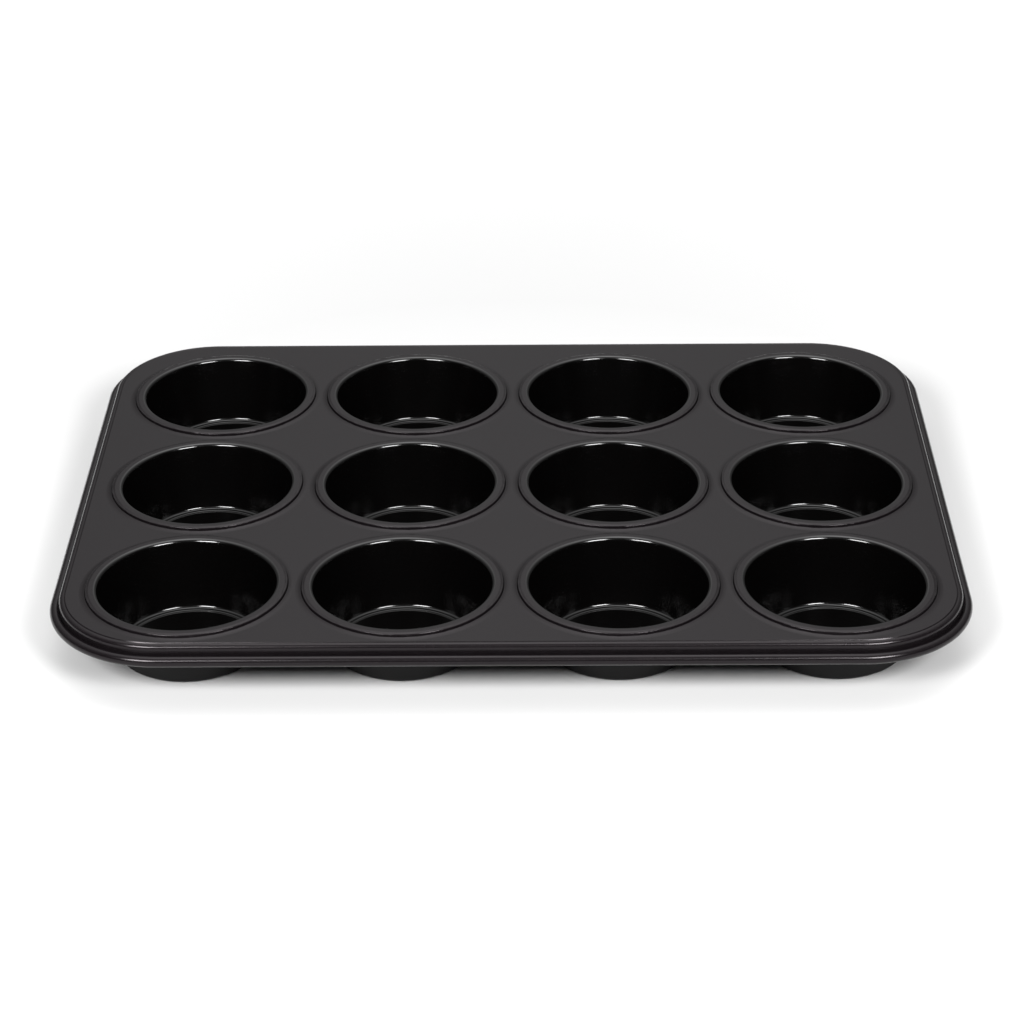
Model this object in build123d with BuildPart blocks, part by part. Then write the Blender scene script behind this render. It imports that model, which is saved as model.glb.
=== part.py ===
from build123d import *
import os

# A twelve-cup muffin tin.
# A pressed sheet-steel deck carries twelve drawn cups. Each cup's flange folds over and under
# a folded collar of the deck, which locks the cup in and makes the raised ring round its mouth.
# The deck's edge turns down into a short skirt and rolls outwards round a steel wire.
# Origin: centre of the footprint on the standing plane. +X along the long side, +Z up.

# ---------------------------------------------------------------- sizes (mm)
# Layout
columns = 4
row_names = ("front", "middle", "back")
cup_gap = 5.2               # between the rings of neighbouring cups
side_margin = 9.8           # from the outer rings to the outside of the skirt, left and right
front_margin = 5.4          # the same at the front, where the cups sit closer to the edge
back_margin = 13.6          # the same at the back
corner_radius = 42.0        # of the skirt, seen from above

# Sheet
sheet = 0.5                 # thickness of the deck's and the cups' steel

# Cup
cup_height = 28.4           # standing plane to the top of the ring
mouth_radius = 35.0         # where the wall's inside would meet the top of the ring
base_radius = 28.2          # where the wall's inside would meet the ledge
ledge_width = 1.8           # the ledge between the wall and the sunk floor
foot_slope = 0.45           # the drop's width, from ledge to floor
foot_depth = 0.55           # the drop's height
base_bend = 1.4             # inside bend radius between wall and ledge
foot_bend = 0.3             # smaller bend radius at the top and bottom of the drop
lip_bend = 1.0              # bend radius under the sheet at the lip

# Seam between cup and deck
ring_width = 4.4            # mouth to the outside of the raised ring
seam_play = 0.3             # gap left at the blind ends of the two folds

# Rolled edge
edge_bend = 1.3             # bend radius under the sheet, between deck and skirt
wire_diameter = 3.2         # steel wire in the roll
wire_play = 0.05            # between wire and roll
roll_drop = 5.8             # top of the deck to the centre of the wire
roll_turn = 305             # degrees of sheet round the wire

# ------------------------------------------------------------- derived sizes
rows = len(row_names)
ring_radius = mouth_radius + ring_width
pitch = 2 * ring_radius + cup_gap
deck_top = cup_height - 3 * sheet
fold_radius = 1.5 * sheet                     # outside of a fold that holds one sheet
fold_centre = mouth_radius + lip_bend + 2 * sheet
cups_y = (front_margin - back_margin) / 2     # middle of the cups, from the deck's middle
skirt_x = pitch * (columns - 1) / 2 + ring_radius + side_margin
skirt_y = pitch * (rows - 1) / 2 + ring_radius + (front_margin + back_margin) / 2
flat_x = skirt_x - sheet - edge_bend          # where the deck starts to turn down
flat_y = skirt_y - sheet - edge_bend
roll_radius = wire_diameter / 2 + wire_play   # inside of the roll
roll_z = deck_top - roll_drop

# ------------------------------------------------------------------- one cup
# The line is the cup's inside surface, then the top of the flange, its fold round the
# collar and the tuck under it. The sheet's thickness lies behind the line.
with BuildPart() as cup:
    with BuildSketch(Plane.XZ):
        with BuildLine():
            bowl = FilletPolyline(
                (0, sheet),
                (base_radius - ledge_width - foot_slope, sheet),
                (base_radius - ledge_width, sheet + foot_depth),
                (base_radius, sheet + foot_depth),
                (mouth_radius, cup_height),
                (ring_radius - fold_radius, cup_height),
                radius=(foot_bend, foot_bend + sheet, base_bend, lip_bend + sheet),
            )
            fold = JernArc(bowl @ 1, (1, 0), fold_radius, -180)
            Line(fold @ 1, (fold_centre + seam_play, deck_top))
            offset(amount=sheet, side=Side.RIGHT)
        make_face()
    revolve(axis=Axis.Z)

# ---------------------------------------------------- the deck's edge outline
# One loop along the outside of the skirt, which the edge and the wire both follow
with BuildLine() as edge_loop:
    half_side = Line((skirt_x, 0), (skirt_x, skirt_y - corner_radius))
    corner = JernArc(half_side @ 1, (0, 1), corner_radius, 90)
    Line(corner @ 1, (0, skirt_y))
    mirror(about=Plane.YZ)
    mirror(about=Plane.XZ)
loop = edge_loop.wires()[0]

# ---------------------------------------------------------------- one collar
# The sheet at the edge of a hole, folded back on itself with room for the cup's tuck
with BuildPart() as collar:
    with BuildSketch(Plane.XZ):
        with BuildLine():
            hem = JernArc((fold_centre, deck_top), (-1, 0), sheet / 2, -180)
            Line(hem @ 1, (ring_radius - fold_radius - seam_play, deck_top + sheet))
            offset(amount=sheet, side=Side.LEFT)
        make_face()
    revolve(axis=Axis.Z)

# ---------------------------------------------------------------------- deck
with BuildPart() as deck:
    # flat top with a hole for each cup
    with BuildSketch(Plane.XY.offset(deck_top - sheet)):
        RectangleRounded(2 * flat_x, 2 * flat_y, corner_radius - sheet - edge_bend)
        with Locations((0, cups_y)):
            with GridLocations(pitch, pitch, columns, rows):
                Circle(fold_centre, mode=Mode.SUBTRACT)
    extrude(amount=sheet)

    # outer bend, skirt and roll, as one section run round the loop
    with BuildSketch(Plane.XZ):
        with BuildLine():
            bend = JernArc((flat_x, deck_top), (1, 0), edge_bend + sheet, -90)
            skirt = Line(bend @ 1, (skirt_x, roll_z))
            roll = JernArc(skirt @ 1, (0, -1), roll_radius, roll_turn)
            bend_under = JernArc((flat_x, deck_top - sheet), (1, 0), edge_bend, -90)
            skirt_inside = Line(bend_under @ 1, (skirt_x - sheet, roll_z))
            roll_outside = JernArc(skirt_inside @ 1, (0, -1), roll_radius + sheet, roll_turn)
            Line(bend @ 0, bend_under @ 0)
            Line(roll @ 1, roll_outside @ 1)
        make_face()
    sweep(path=loop)

    # a collar round each hole
    with Locations((0, cups_y)):
        with GridLocations(pitch, pitch, columns, rows):
            add(collar.part)

# ----------------------------------------------------------------- rim wire
with BuildPart() as rim_wire:
    with BuildSketch(Plane.XZ):
        with Locations((skirt_x + roll_radius, roll_z)):
            Circle(wire_diameter / 2)
    sweep(path=loop)

# -------------------------------------------------------------------- export
os.makedirs("parts", exist_ok=True)

deck.part.label = "deck"
export_step(deck.part, "parts/deck.step")

rim_wire.part.label = "rim_wire"
export_step(rim_wire.part, "parts/rim_wire.step")

# Twelve of the same cup, named by row and numbered from the left
for row, row_name in enumerate(row_names):
    for column in range(columns):
        centre_x = (column - (columns - 1) / 2) * pitch
        centre_y = (row - (rows - 1) / 2) * pitch + cups_y
        with BuildPart() as placed_cup:
            with Locations((centre_x, centre_y)):
                add(cup.part)
        name = f"cup_{row_name}_{column + 1}"
        placed_cup.part.label = name
        export_step(placed_cup.part, f"parts/{name}.step")
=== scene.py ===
# %% [markdown]
# # A twelve-cup muffin tin
# A seamed bakery tin is pressed sheet steel. One sheet is the deck, twelve drawn cups hang in
# it, and each cup's flange is folded over the edge of its hole and crimped. The deck's edge
# turns down into a short skirt and curls round a steel wire. Everything but the wire wears a
# dark non-stick coating.
#
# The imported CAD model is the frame. It gives every place and the main sizes, so the cups are
# rebuilt exactly where the CAD cups stand, only with a finer surface and the small marks that
# a press and a crimping tool leave.

# %% The frame
import math

import bmesh
import bpy
from mathutils import Matrix, Vector


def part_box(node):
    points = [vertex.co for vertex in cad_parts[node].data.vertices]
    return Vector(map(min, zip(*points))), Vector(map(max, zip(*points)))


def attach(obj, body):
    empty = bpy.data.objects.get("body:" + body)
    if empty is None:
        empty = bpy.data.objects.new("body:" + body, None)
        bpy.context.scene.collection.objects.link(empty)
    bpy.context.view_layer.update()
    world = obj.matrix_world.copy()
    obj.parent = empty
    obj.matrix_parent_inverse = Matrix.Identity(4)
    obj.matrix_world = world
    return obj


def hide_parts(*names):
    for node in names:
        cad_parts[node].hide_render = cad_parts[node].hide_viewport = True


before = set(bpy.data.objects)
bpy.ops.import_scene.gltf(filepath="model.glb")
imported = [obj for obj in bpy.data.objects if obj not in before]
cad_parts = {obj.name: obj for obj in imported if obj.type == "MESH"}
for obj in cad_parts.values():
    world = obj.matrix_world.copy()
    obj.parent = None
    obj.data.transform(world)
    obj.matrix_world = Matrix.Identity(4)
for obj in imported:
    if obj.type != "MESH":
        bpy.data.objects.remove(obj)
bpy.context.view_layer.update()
bpy.ops.object.select_all(action="DESELECT")

print("nodes:", ", ".join(sorted(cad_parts)))

# %% [markdown]
# ## Sizes
# Blender works in metres. What the frame can tell is measured from it. The bends of the sheet
# are too small to read off a box, so they are named here, as on a press tool's drawing.

# %% Sizes
mm = 0.001
rows = ("front", "middle", "back")
columns = (1, 2, 3, 4)

sample_low, sample_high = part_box("cup_front_1")
wire_low, wire_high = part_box("rim_wire")

cup_height = sample_high.z
ring_radius = (sample_high.x - sample_low.x) / 2
wire_radius = (wire_high.z - wire_low.z) / 2
wire_z = (wire_high.z + wire_low.z) / 2

sheet = 0.5 * mm             # the steel's thickness
mouth_radius = 35.0 * mm     # inside of the wall at the top of the ring
base_radius = 28.2 * mm      # inside of the wall at the ledge
ledge_width = 1.8 * mm       # between the wall and the sunk floor
foot_slope = 0.45 * mm       # width of the drop from ledge to floor
foot_depth = 0.55 * mm       # height of that drop
base_bend = 1.4 * mm
foot_bend = 0.3 * mm
lip_bend = 1.0 * mm          # under the sheet, where the wall turns out into the flange
seam_play = 0.3 * mm         # gap at the blind ends of the two folds
edge_bend = 1.3 * mm         # under the sheet, where the deck turns down
wire_play = 0.05 * mm
roll_turn = 305              # degrees of sheet round the wire
corner_radius = 42.0 * mm    # outside of the skirt, seen from above

fold_radius = 1.5 * sheet
fold_centre = mouth_radius + lip_bend + 2 * sheet
deck_top = cup_height - 3 * sheet
roll_radius = wire_radius + wire_play
skirt_x = wire_high.x - wire_radius - roll_radius
skirt_y = wire_high.y - wire_radius - roll_radius
flat_x = skirt_x - sheet - edge_bend

print("ring radius %.2f mm, deck top %.2f mm, skirt %.2f x %.2f mm"
      % (ring_radius / mm, deck_top / mm, skirt_x / mm, skirt_y / mm))

# %% [markdown]
# ## Drawing a line of sheet
# Every pressed piece here is one bent line, swept round something. The line is drawn the way
# a strip is bent on a bench: a single point is extruded along each straight run and spun
# round each bend's centre. Runs get a short extra edge beside every bend, because smooth
# shading blends across edges, and without them the flats would look cushioned.

# %% The bench
def only(piece):
    bpy.ops.object.select_all(action="DESELECT")
    piece.select_set(True)
    bpy.context.view_layer.objects.active = piece


def start_line(name, x, z):
    bpy.ops.object.select_all(action="DESELECT")
    bpy.ops.mesh.primitive_plane_add(size=sheet, location=(x, 0, z))
    piece = bpy.context.object
    piece.name = piece.data.name = name
    bpy.ops.object.transform_apply(location=True, rotation=True, scale=True)
    bpy.ops.object.mode_set(mode="EDIT")
    bpy.ops.mesh.select_all(action="SELECT")
    bpy.ops.mesh.merge(type="CENTER")
    return piece


def run_to(here, there, ease=0.35 * mm):
    """One straight run, with an extra edge near each end where there is room for it."""
    way = there - here
    stops = [ease, way.length - ease, way.length] if way.length > 3 * ease else [way.length]
    gone = 0.0
    for stop in stops:
        step = way.normalized() * (stop - gone)
        bpy.ops.mesh.extrude_region_move(TRANSFORM_OT_translate={"value": (step.x, 0, step.y)})
        gone = stop
    return there


def turn_about(centre, here, degrees, degrees_per_step=9):
    """One bend. Positive degrees turn left, seen with X to the right and Z up."""
    steps = max(2, round(abs(degrees) / degrees_per_step))
    bpy.ops.mesh.spin(steps=steps, angle=math.radians(degrees), axis=(0, 1, 0),
                      center=(centre.x, 0, centre.y))
    return centre + Matrix.Rotation(math.radians(degrees), 2) @ (here - centre)


def bend(here, heading, radius, degrees, degrees_per_step=9):
    """A bend that leaves here along heading. Returns where it ends and the new heading."""
    side = Vector((-heading.y, heading.x)) * math.copysign(radius, degrees)
    end = turn_about(here + side, here, degrees, degrees_per_step)
    return end, Matrix.Rotation(math.radians(degrees), 2) @ heading


def rounded_line(points, radii, degrees_per_step=9):
    """Runs through points, with each inner corner rounded. Returns the end and its heading."""
    points = [Vector(p) for p in points]
    here = points[0]
    for before, corner, after, radius in zip(points, points[1:], points[2:], radii):
        heading = (corner - before).normalized()
        onward = (after - corner).normalized()
        turn = math.degrees(math.atan2(heading.cross(onward), heading.dot(onward)))
        trim = radius * math.tan(math.radians(abs(turn)) / 2)
        here = run_to(here, corner - heading * trim)
        here, heading = bend(here, heading, radius, turn, degrees_per_step)
    return run_to(here, points[-1]), onward


def revolve(centre_x, centre_y, steps):
    """Spins the whole line once round an upright axis and closes the seam."""
    bpy.ops.mesh.select_all(action="SELECT")
    bpy.ops.mesh.spin(steps=steps, angle=math.tau, axis=(0, 0, 1),
                      center=(centre_x, centre_y, 0), use_auto_merge=True)
    bpy.ops.mesh.select_all(action="SELECT")
    bpy.ops.mesh.remove_doubles(threshold=0.001 * mm)


def face_up(piece):
    """Recalculates the normals, then makes sure that the sheet's upper side is its front."""
    bpy.ops.mesh.select_all(action="SELECT")
    bpy.ops.mesh.normals_make_consistent(inside=False)
    faces = bmesh.from_edit_mesh(piece.data).faces
    level = sum(face.normal.z * face.calc_area() for face in faces)
    if level < 0:
        bpy.ops.mesh.flip_normals()


def thicken(piece, back_finish=0):
    """Gives the line's surface its steel, on the side behind it."""
    bpy.ops.object.mode_set(mode="OBJECT")
    only(piece)
    solid = piece.modifiers.new("sheet", "SOLIDIFY")
    solid.material_offset = back_finish
    solid.thickness = sheet
    solid.offset = -1
    solid.use_even_offset = True
    bpy.ops.object.modifier_apply(modifier=solid.name)


def smooth(piece, degrees=40):
    only(piece)
    bpy.ops.object.shade_smooth_by_angle(angle=math.radians(degrees))


def tell(piece):
    if piece.mode == "EDIT":
        piece.update_from_editmode()
    piece.data.calc_loop_triangles()
    print("%s: %d vertices, %d triangles"
          % (piece.name, len(piece.data.vertices), len(piece.data.loop_triangles)))


# %% [markdown]
# ## One cup
# A cup is drawn from a flat disc, so it is a perfect turned shape up to its lip, and spinning
# its section makes it. The section starts at the middle of the floor, steps up to the ledge
# that stiffens the base, climbs the wall and turns out into the flange. The flange folds
# round the deck's collar and tucks in under it.

# %% The cup's section, spun
spin_steps = 240
crimp_bend = 0.4 * mm        # the crimping wheel squares the fold's edge
track_width = 1.1 * mm       # the band that the wheel pressed a hair lower than the ring's top
track_depth = 0.07 * mm
track_slope = 0.15 * mm      # how soon the ring's top drops to the track
fine_step = 18               # degrees per step in the tight bends of the crimp

cup = start_line("cup", 0, sheet)
ledge = sheet + foot_depth
here, heading = rounded_line(
    [(0, sheet), (base_radius - ledge_width - foot_slope, sheet),
     (base_radius - ledge_width, ledge), (base_radius, ledge),
     (mouth_radius, cup_height), (ring_radius - track_width, cup_height)],
    [foot_bend, foot_bend + sheet, base_bend, lip_bend + sheet])
track_top = cup_height - track_depth
here = run_to(here, Vector((ring_radius - track_width + track_slope, track_top)))
here = run_to(here, Vector((ring_radius - crimp_bend, track_top)))
here, heading = bend(here, Vector((1, 0)), crimp_bend, -90, fine_step)
here = run_to(here, Vector((ring_radius, deck_top + crimp_bend)), ease=0.1 * mm)
here, heading = bend(here, heading, crimp_bend, -90, fine_step)
run_to(here, Vector((fold_centre + seam_play, deck_top)))
revolve(0, 0, spin_steps)
face_up(cup)
tell(cup)

# %% [markdown]
# The crimping wheel leaves its mark: the outer edge of the ring isn't a clean round but
# carries fine uneven wrinkles where the flange was gathered in. A Displace modifier pushes
# only the edge's vertices, by a small amount that a clouds texture decides, so the wrinkles
# are real shape and catch the light in broken flecks.

# %% Crimp marks on the ring's edge
crimp_depth = 0.3 * mm
crimp_size = 1.5 * mm
crimp_fade = 0.4 * mm        # the wrinkles start this far inside the fold
crimp_foot = 0.7 * mm        # and stay this far above the deck

bpy.ops.object.mode_set(mode="OBJECT")
only(cup)
rim = cup.vertex_groups.new(name="ring_edge")
for vertex in cup.data.vertices:
    out = math.hypot(vertex.co.x, vertex.co.y) - (ring_radius - fold_radius)
    if out > -crimp_fade and vertex.co.z > deck_top + crimp_foot:
        rim.add([vertex.index], min(1.0, (out + crimp_fade) / fold_radius), "REPLACE")

wrinkles = bpy.data.textures.new("crimp_wrinkles", "CLOUDS")
wrinkles.noise_scale = crimp_size
wrinkles.noise_depth = 1
crimp = cup.modifiers.new("crimp", "DISPLACE")
crimp.texture = wrinkles
crimp.texture_coords = "LOCAL"
crimp.vertex_group = rim.name
crimp.strength = crimp_depth
crimp.mid_level = 0.75
bpy.ops.object.modifier_apply(modifier=crimp.name)
cup.vertex_groups.clear()

# %% [markdown]
# A cup shows four finishes, and a face keeps the number of its own. The lip and base are the
# glossy ones, the ring is as satin as the deck, the wall is darker, and everything on the
# outside is matt. Solidify adds its offset to a face's number and stops at the last one, so
# the new back faces all become the outside. The materials themselves come later.

# %% Which face gets which finish
lip_finish, ring_finish, wall_finish, outside_finish = range(4)
ring_start = mouth_radius + 1.3 * mm     # past the lip's bend, where the sheet lies flat
wall_start = sheet + foot_depth + base_bend
wall_end = cup_height - 1.5 * mm

for number in (lip_finish, ring_finish, wall_finish, outside_finish):
    cup.data.materials.append(None)
for face in cup.data.polygons:
    if math.hypot(face.center.x, face.center.y) > ring_start:
        face.material_index = ring_finish
    elif wall_start < face.center.z < wall_end:
        face.material_index = wall_finish
thicken(cup, outside_finish)
smooth(cup)
tell(cup)

# %% [markdown]
# ## Twelve cups
# The first cup is copied to each place where the CAD has one. Each copy gets its own mesh and
# is turned a different amount first, so that no two rings show the same wrinkles.

# %% Copies
turn_each = 97               # degrees
cups = {}
for row in rows:
    for column in columns:
        node = "cup_%s_%d" % (row, column)
        low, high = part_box(node)
        only(cup)
        bpy.ops.object.duplicate()
        copy = bpy.context.object
        copy.name = copy.data.name = node + "_drawn"
        copy.rotation_euler.z = math.radians(turn_each * len(cups))
        copy.location = ((low.x + high.x) / 2, (low.y + high.y) / 2, 0)
        bpy.ops.object.transform_apply(location=True, rotation=True, scale=True)
        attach(copy, "root")
        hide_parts(node)
        cups[node] = copy
bpy.data.objects.remove(cup)
print(len(cups), "cups placed")

# %% [markdown]
# ## The deck's edge
# The edge is one section too: a little of the flat with the fine line that the die leaves in
# it, the outer bend, the skirt and the curl round the wire. It follows a rounded rectangle,
# so a quarter of that path is enough. The section is extruded along half a side, spun round
# the corner and extruded again, and a Mirror modifier makes the other three quarters.

# %% A quarter of the edge, mirrored
corner_steps = 28
flat_margin = 0.9 * mm
die_line = 0.3 * mm          # depth of the fine line that the die leaves just inside the bend
die_stops = ((0.8 * mm, 0), (0.55 * mm, die_line), (0.1 * mm, 0), (0, 0))   # way in, way down
corner_x = skirt_x - corner_radius
corner_y = skirt_y - corner_radius

deck = start_line("deck_pressed", flat_x - flat_margin, deck_top)
here = Vector((flat_x - flat_margin, deck_top))
for way_in, down in die_stops:
    here = run_to(here, Vector((flat_x - way_in, deck_top - down)))
here, heading = bend(here, Vector((1, 0)), edge_bend + sheet, -90, degrees_per_step=7.5)
here = run_to(here, Vector((skirt_x, wire_z)))
bend(here, Vector((0, -1)), roll_radius, roll_turn, degrees_per_step=10)

bpy.ops.mesh.select_all(action="SELECT")
bpy.ops.mesh.extrude_region_move(TRANSFORM_OT_translate={"value": (0, corner_y, 0)})
bpy.ops.mesh.spin(steps=corner_steps, angle=math.radians(-90), axis=(0, 0, 1),
                  center=(corner_x, corner_y, 0))
bpy.ops.mesh.extrude_region_move(TRANSFORM_OT_translate={"value": (-corner_x, 0, 0)})
bpy.ops.mesh.select_all(action="SELECT")
bpy.ops.mesh.remove_doubles(threshold=0.001 * mm)
bpy.ops.object.mode_set(mode="OBJECT")
only(deck)
mirror = deck.modifiers.new("quarters", "MIRROR")
mirror.use_axis = (True, True, False)
mirror.merge_threshold = 0.002 * mm
bpy.ops.object.modifier_apply(modifier=mirror.name)
tell(deck)

# %% [markdown]
# ## The collars
# Round each hole the deck's sheet is folded back on itself, which makes the collar that the
# cup's flange grips. Folding it pushes the sheet up a little just outside the ring, so the
# line starts out there with a shallow rise, and at the ring's foot it drops into the pinched
# crease. One collar is spun, copied to every hole, and then removed.

# %% One collar, copied to every hole
collar_reach = 2.45 * mm     # how far the shallow rise runs out from the ring
collar_rise = 0.4 * mm
collar_lead = 0.15 * mm      # level sheet before the rise starts
crease_depth = 0.25 * mm     # the pinched line between the ring and the deck
crease_width = 0.2 * mm
crease_run = 0.4 * mm        # from the crease's bottom back up to the level under the ring

collar = start_line("collar", ring_radius + collar_reach, deck_top)
outer = Vector((ring_radius + collar_reach, deck_top))
here = run_to(outer, outer - Vector((collar_lead, 0)))
here = run_to(here, Vector((ring_radius + collar_reach / 2, deck_top + collar_rise / 3)))
here = run_to(here, Vector((ring_radius + crease_width, deck_top + collar_rise)))
here = run_to(here, Vector((ring_radius, deck_top - crease_depth)))
here = run_to(here, Vector((ring_radius - crease_run, deck_top)))
here = run_to(here, Vector((fold_centre, deck_top)))
here, heading = bend(here, Vector((-1, 0)), sheet / 2, -180, degrees_per_step=22.5)
run_to(here, Vector((ring_radius - fold_radius - seam_play, deck_top + sheet)))
revolve(0, 0, spin_steps // 2)
bpy.ops.object.mode_set(mode="OBJECT")

collars = []
for node in cups:
    low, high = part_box(node)
    only(collar)
    bpy.ops.object.duplicate()
    copy = bpy.context.object
    copy.location = ((low.x + high.x) / 2, (low.y + high.y) / 2, 0)
    bpy.ops.object.transform_apply(location=True, rotation=True, scale=True)
    collars.append(copy)
bpy.data.objects.remove(collar)

# %% [markdown]
# The collars and the edge are joined into one mesh. What is missing is the flat sheet between
# them, which has a straight-edged outside and twelve round holes. Fill makes exactly that from
# the open loops that face each other.

# %% The flat sheet between
only(deck)
for copy in collars:
    copy.select_set(True)
bpy.ops.object.join()
bpy.ops.object.mode_set(mode="EDIT")
bpy.ops.mesh.select_mode(type="EDGE")
bpy.ops.mesh.select_all(action="DESELECT")
mesh = bmesh.from_edit_mesh(deck.data)
for edge in mesh.edges:
    level = all(abs(v.co.z - deck_top) < 0.001 * mm for v in edge.verts)
    edge.select = edge.is_boundary and level
bmesh.update_edit_mesh(deck.data)
bpy.ops.mesh.fill(use_beauty=True)
face_up(deck)
thicken(deck)
smooth(deck)
tell(deck)
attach(deck, "root")
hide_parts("deck")

# %% [markdown]
# ## The coating
# Non-stick coating is sprayed on thin and baked. It is near black, but its surface isn't
# perfectly level: it has the faint orange peel of a baked spray, and tiny pale specks of
# filler. What differs from place to place is how glossy it dries, and how much light it
# throws back, which is its IOR. All four finishes come from one recipe with other numbers.

# %% A recipe for baked coating
cloud_scale = 28             # large soft patches of more and less gloss
grain_scale = 2600           # specks of filler
peel_scale = 900             # orange peel
noise_low = 0.3              # nearly all of a noise pattern lies between these two
noise_high = 0.7


def noise(nodes, links, place, scale, detail):
    pattern = nodes.new("ShaderNodeTexNoise")
    pattern.inputs["Scale"].default_value = scale
    pattern.inputs["Detail"].default_value = detail
    links.new(place.outputs["Object"], pattern.inputs["Vector"])
    return pattern.outputs["Fac"]


def coating(name, colour, ior, rough_low, rough_high, peel_depth, speck, sheen=(1, 1, 1)):
    material = bpy.data.materials.new(name)
    material.use_nodes = True
    nodes = material.node_tree.nodes
    links = material.node_tree.links
    shader = nodes["Principled BSDF"]
    shader.inputs["IOR"].default_value = ior
    shader.inputs["Specular Tint"].default_value = (*sheen, 1)
    place = nodes.new("ShaderNodeTexCoord")

    gloss = nodes.new("ShaderNodeMapRange")
    gloss.inputs["From Min"].default_value = noise_low
    gloss.inputs["From Max"].default_value = noise_high
    gloss.inputs["To Min"].default_value = rough_low
    gloss.inputs["To Max"].default_value = rough_high
    links.new(noise(nodes, links, place, cloud_scale, 5), gloss.inputs["Value"])
    links.new(gloss.outputs["Result"], shader.inputs["Roughness"])

    tint = nodes.new("ShaderNodeValToRGB")
    tint.color_ramp.elements[0].position = 0.35
    tint.color_ramp.elements[0].color = (*[c * 0.8 for c in colour], 1)
    tint.color_ramp.elements[1].position = 0.72
    tint.color_ramp.elements[1].color = (*[c * speck for c in colour], 1)
    links.new(noise(nodes, links, place, grain_scale, 2), tint.inputs["Fac"])
    links.new(tint.outputs["Color"], shader.inputs["Base Color"])

    bump = nodes.new("ShaderNodeBump")
    bump.inputs["Distance"].default_value = peel_depth
    bump.inputs["Strength"].default_value = 1.0
    links.new(noise(nodes, links, place, peel_scale, 3), bump.inputs["Height"])
    links.new(bump.outputs["Normal"], shader.inputs["Normal"])
    return material


def dress(piece, *finishes):
    """Fills the piece's material slots in order, and adds the slots that it doesn't have yet."""
    slots = piece.data.materials
    while len(slots) < len(finishes):
        slots.append(None)
    for number, finish in enumerate(finishes):
        slots[number] = finish


# %% [markdown]
# The deck's satin has the faintest warm sheen. Its numbers also serve the cups' rings, which
# are sheet of the same kind. The cups' order of finishes is the one that their faces were
# numbered in.

# %% Four finishes
deck_coating = coating("deck_coating", (0.0033, 0.0026, 0.0030), ior=1.30,
                       rough_low=0.18, rough_high=0.23, peel_depth=0.004 * mm, speck=2.2,
                       sheen=(1, 0.93, 0.965))
cup_coating = coating("cup_coating", (0.0007, 0.0006, 0.0006), ior=1.5,
                      rough_low=0.11, rough_high=0.14, peel_depth=0.0015 * mm, speck=1.6)
cup_wall = coating("cup_wall", (0.0007, 0.0006, 0.0006), ior=1.28,
                   rough_low=0.15, rough_high=0.19, peel_depth=0.003 * mm, speck=1.6)
cup_outside = coating("cup_outside", (0.0012, 0.0010, 0.0011), ior=1.26,
                      rough_low=0.42, rough_high=0.50, peel_depth=0.004 * mm, speck=1.8)
dress(deck, deck_coating)
for copy in cups.values():
    dress(copy, cup_coating, deck_coating, cup_wall, cup_outside)
print("finishes:", ", ".join(m.name for m in (deck_coating, cup_coating, cup_wall, cup_outside)))

# %% [markdown]
# ## The wire
# The wire inside the curl stays the CAD piece, since a plain drawn wire is all it is. It only
# needs steel: a bright metal that a fine mottle greys unevenly.

# %% Drawn steel
mottle_scale = 1500

steel = bpy.data.materials.new("wire_steel")
steel.use_nodes = True
nodes = steel.node_tree.nodes
links = steel.node_tree.links
shader = nodes["Principled BSDF"]
shader.inputs["Metallic"].default_value = 1.0
mottle = noise(nodes, links, nodes.new("ShaderNodeTexCoord"), mottle_scale, 4)
grey = nodes.new("ShaderNodeValToRGB")
grey.color_ramp.elements[0].color = (0.32, 0.32, 0.33, 1)
grey.color_ramp.elements[1].color = (0.62, 0.62, 0.61, 1)
links.new(mottle, grey.inputs["Fac"])
links.new(grey.outputs["Color"], shader.inputs["Base Color"])
dull = nodes.new("ShaderNodeMapRange")
dull.inputs["To Min"].default_value = 0.25
dull.inputs["To Max"].default_value = 0.5
links.new(mottle, dull.inputs["Value"])
links.new(dull.outputs["Result"], shader.inputs["Roughness"])
dress(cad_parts["rim_wire"], steel)

# %% [markdown]
# ## Floor and light
# The tin is a dark, glossy thing, so what it shows is mostly the room. The far side of the
# room is bright and the near side dark, and two softboxes stand in front, left and right,
# which draw the thin bright arcs on the cups' lips and bases. The floor is pale paper. Farther
# out it carries painted light, an emission that grows with the distance from the middle, so it
# runs out into white.

# %% The floor
floor_size = 8
painted_glow_start = 0.24            # metres from the middle
painted_glow_full = 0.7
painted_glow = 0.45

bpy.ops.object.select_all(action="DESELECT")
bpy.ops.mesh.primitive_plane_add(size=floor_size, location=(0, 0, -0.05 * mm))
floor = bpy.context.object
floor.name = "floor"
paper = bpy.data.materials.new("white_paper")
paper.use_nodes = True
nodes = paper.node_tree.nodes
links = paper.node_tree.links
shader = nodes["Principled BSDF"]
shader.inputs["Base Color"].default_value = (0.55, 0.55, 0.55, 1)
shader.inputs["Roughness"].default_value = 0.9
# Painted light: the floor's emission grows with the distance from the middle and stands in for
# lamp light on the far floor.
shader.inputs["Emission Color"].default_value = (1, 1, 1, 1)
reach = nodes.new("ShaderNodeVectorMath")
reach.operation = "LENGTH"
links.new(nodes.new("ShaderNodeTexCoord").outputs["Object"], reach.inputs[0])
painted_far_light = nodes.new("ShaderNodeMapRange")
painted_far_light.inputs["From Min"].default_value = painted_glow_start
painted_far_light.inputs["From Max"].default_value = painted_glow_full
painted_far_light.inputs["To Max"].default_value = painted_glow
links.new(reach.outputs["Value"], painted_far_light.inputs["Value"])
links.new(painted_far_light.outputs["Result"], shader.inputs["Emission Strength"])
dress(floor, paper)

# %% [markdown]
# The room is a plain gradient, worked out from the direction that a ray leaves in: dark in
# front and bright behind, brighter overhead than at the horizon, and fading to both sides.

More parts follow.
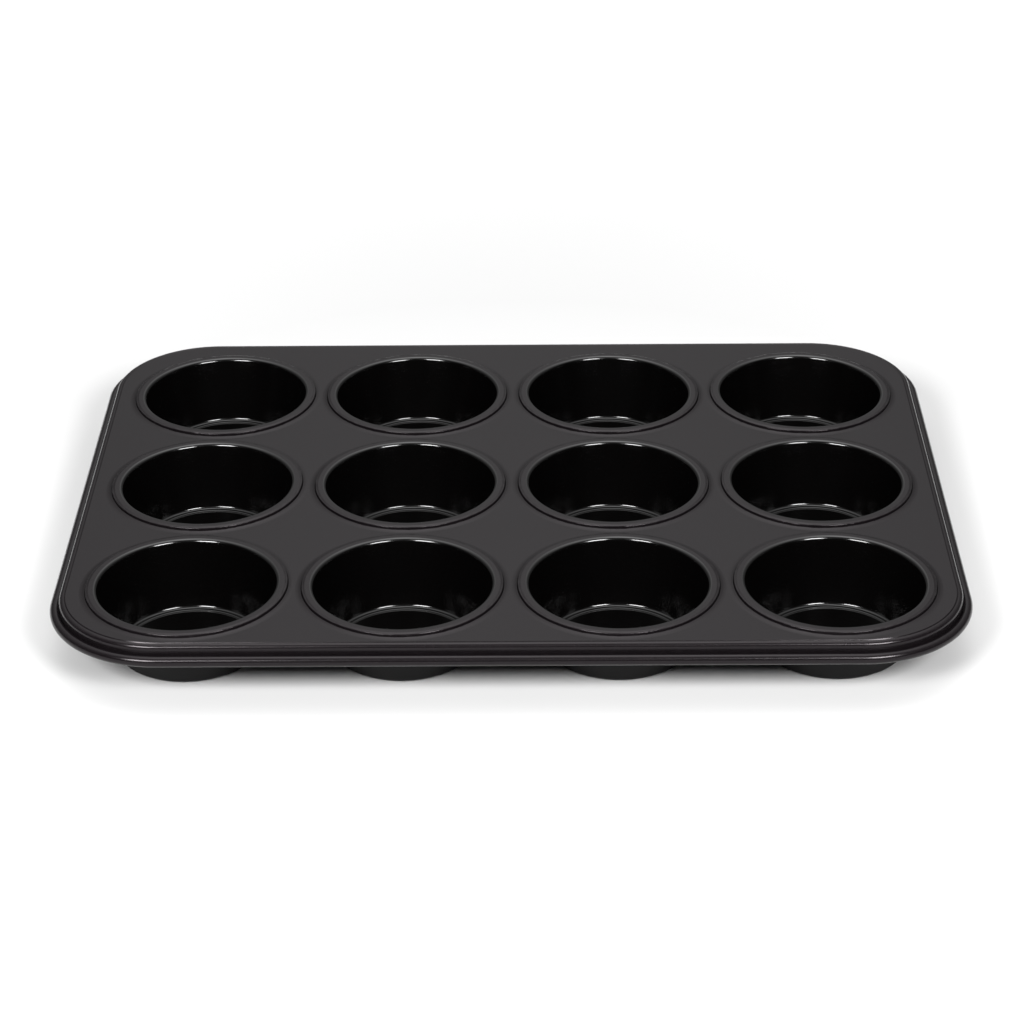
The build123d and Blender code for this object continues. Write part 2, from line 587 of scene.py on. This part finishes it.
# %% The room
dark_until = -0.45           # how far front and back the change from dark to bright reaches
bright_from = 0.35
near_dark = 0.06
overhead = 4.2
horizon = 0.24
side_fade = 14
side_floor = 0.5             # what is left of the light far out to the sides
side_peak = 0.6              # what the middle has on top of that

world = bpy.data.worlds.new("studio")
bpy.context.scene.world = world
world.use_nodes = True
nodes = world.node_tree.nodes
links = world.node_tree.links
split = nodes.new("ShaderNodeSeparateXYZ")
links.new(nodes.new("ShaderNodeTexCoord").outputs["Generated"], split.inputs["Vector"])


def work_out(operation, *values, clamp=False):
    step = nodes.new("ShaderNodeMath")
    step.operation = operation
    step.use_clamp = clamp
    for socket, value in zip(step.inputs, values):
        if isinstance(value, (int, float)):
            socket.default_value = value
        else:
            links.new(value, socket)
    return step.outputs["Value"]


far_side = nodes.new("ShaderNodeMapRange")
far_side.interpolation_type = "SMOOTHSTEP"
far_side.inputs["From Min"].default_value = dark_until
far_side.inputs["From Max"].default_value = bright_from
far_side.inputs["To Min"].default_value = near_dark
links.new(split.outputs["Y"], far_side.inputs["Value"])

upward = work_out("POWER", split.outputs["Z"], 3.0, clamp=True)
ceiling = work_out("MULTIPLY_ADD", upward, overhead, horizon)
both = work_out("MULTIPLY", far_side.outputs["Result"], ceiling)
sideways = work_out("MULTIPLY", split.outputs["X"], split.outputs["X"])
spot = work_out("EXPONENT", work_out("MULTIPLY", sideways, -side_fade))
wide = work_out("MULTIPLY_ADD", spot, side_peak, side_floor)
links.new(work_out("MULTIPLY", both, wide), nodes["Background"].inputs["Strength"])
nodes["Background"].inputs["Color"].default_value = (1, 1, 1, 1)

# %% [markdown]
# The two softboxes are the same lamp, one on each side of the camera, turned to face the
# middle of the tin.

# %% Softboxes
box_aside = 0.58             # metres, as are the next four
box_front = 1.06
box_up = 0.88
box_width = 0.5
box_height = 0.38
box_watts = 25

for name, side in (("softbox_left", -1), ("softbox_right", 1)):
    place = Vector((side * box_aside, -box_front, box_up))
    bpy.ops.object.select_all(action="DESELECT")
    bpy.ops.object.light_add(type="AREA", location=place,
                             rotation=(-place).to_track_quat("-Z", "Y").to_euler())
    lamp = bpy.context.object
    lamp.name = name
    lamp.data.shape = "RECTANGLE"
    lamp.data.size = box_width
    lamp.data.size_y = box_height
    lamp.data.energy = box_watts
    print(name, "at", [round(c, 2) for c in place])

# %% [markdown]
# ## Camera
# A long lens well in front and above, looking down across the tin.

# %% Camera
lens = 102.37
sensor = 36.0
tilt_down = 28.43
turn_left = 0.570
lean = -0.555
camera_place = (10.6 * mm, -1069.8 * mm, 590.7 * mm)

aim = (Matrix.Rotation(math.radians(turn_left), 3, "Z")
       @ Matrix.Rotation(math.radians(90 - tilt_down), 3, "X")
       @ Matrix.Rotation(math.radians(lean), 3, "Z"))
bpy.ops.object.select_all(action="DESELECT")
bpy.ops.object.camera_add(location=camera_place, rotation=aim.to_euler())
camera = bpy.context.object
camera.data.lens = lens
camera.data.sensor_width = sensor
bpy.context.scene.camera = camera
bpy.context.scene.view_settings.view_transform = "Standard"
print("camera at", [round(c, 4) for c in camera.location])
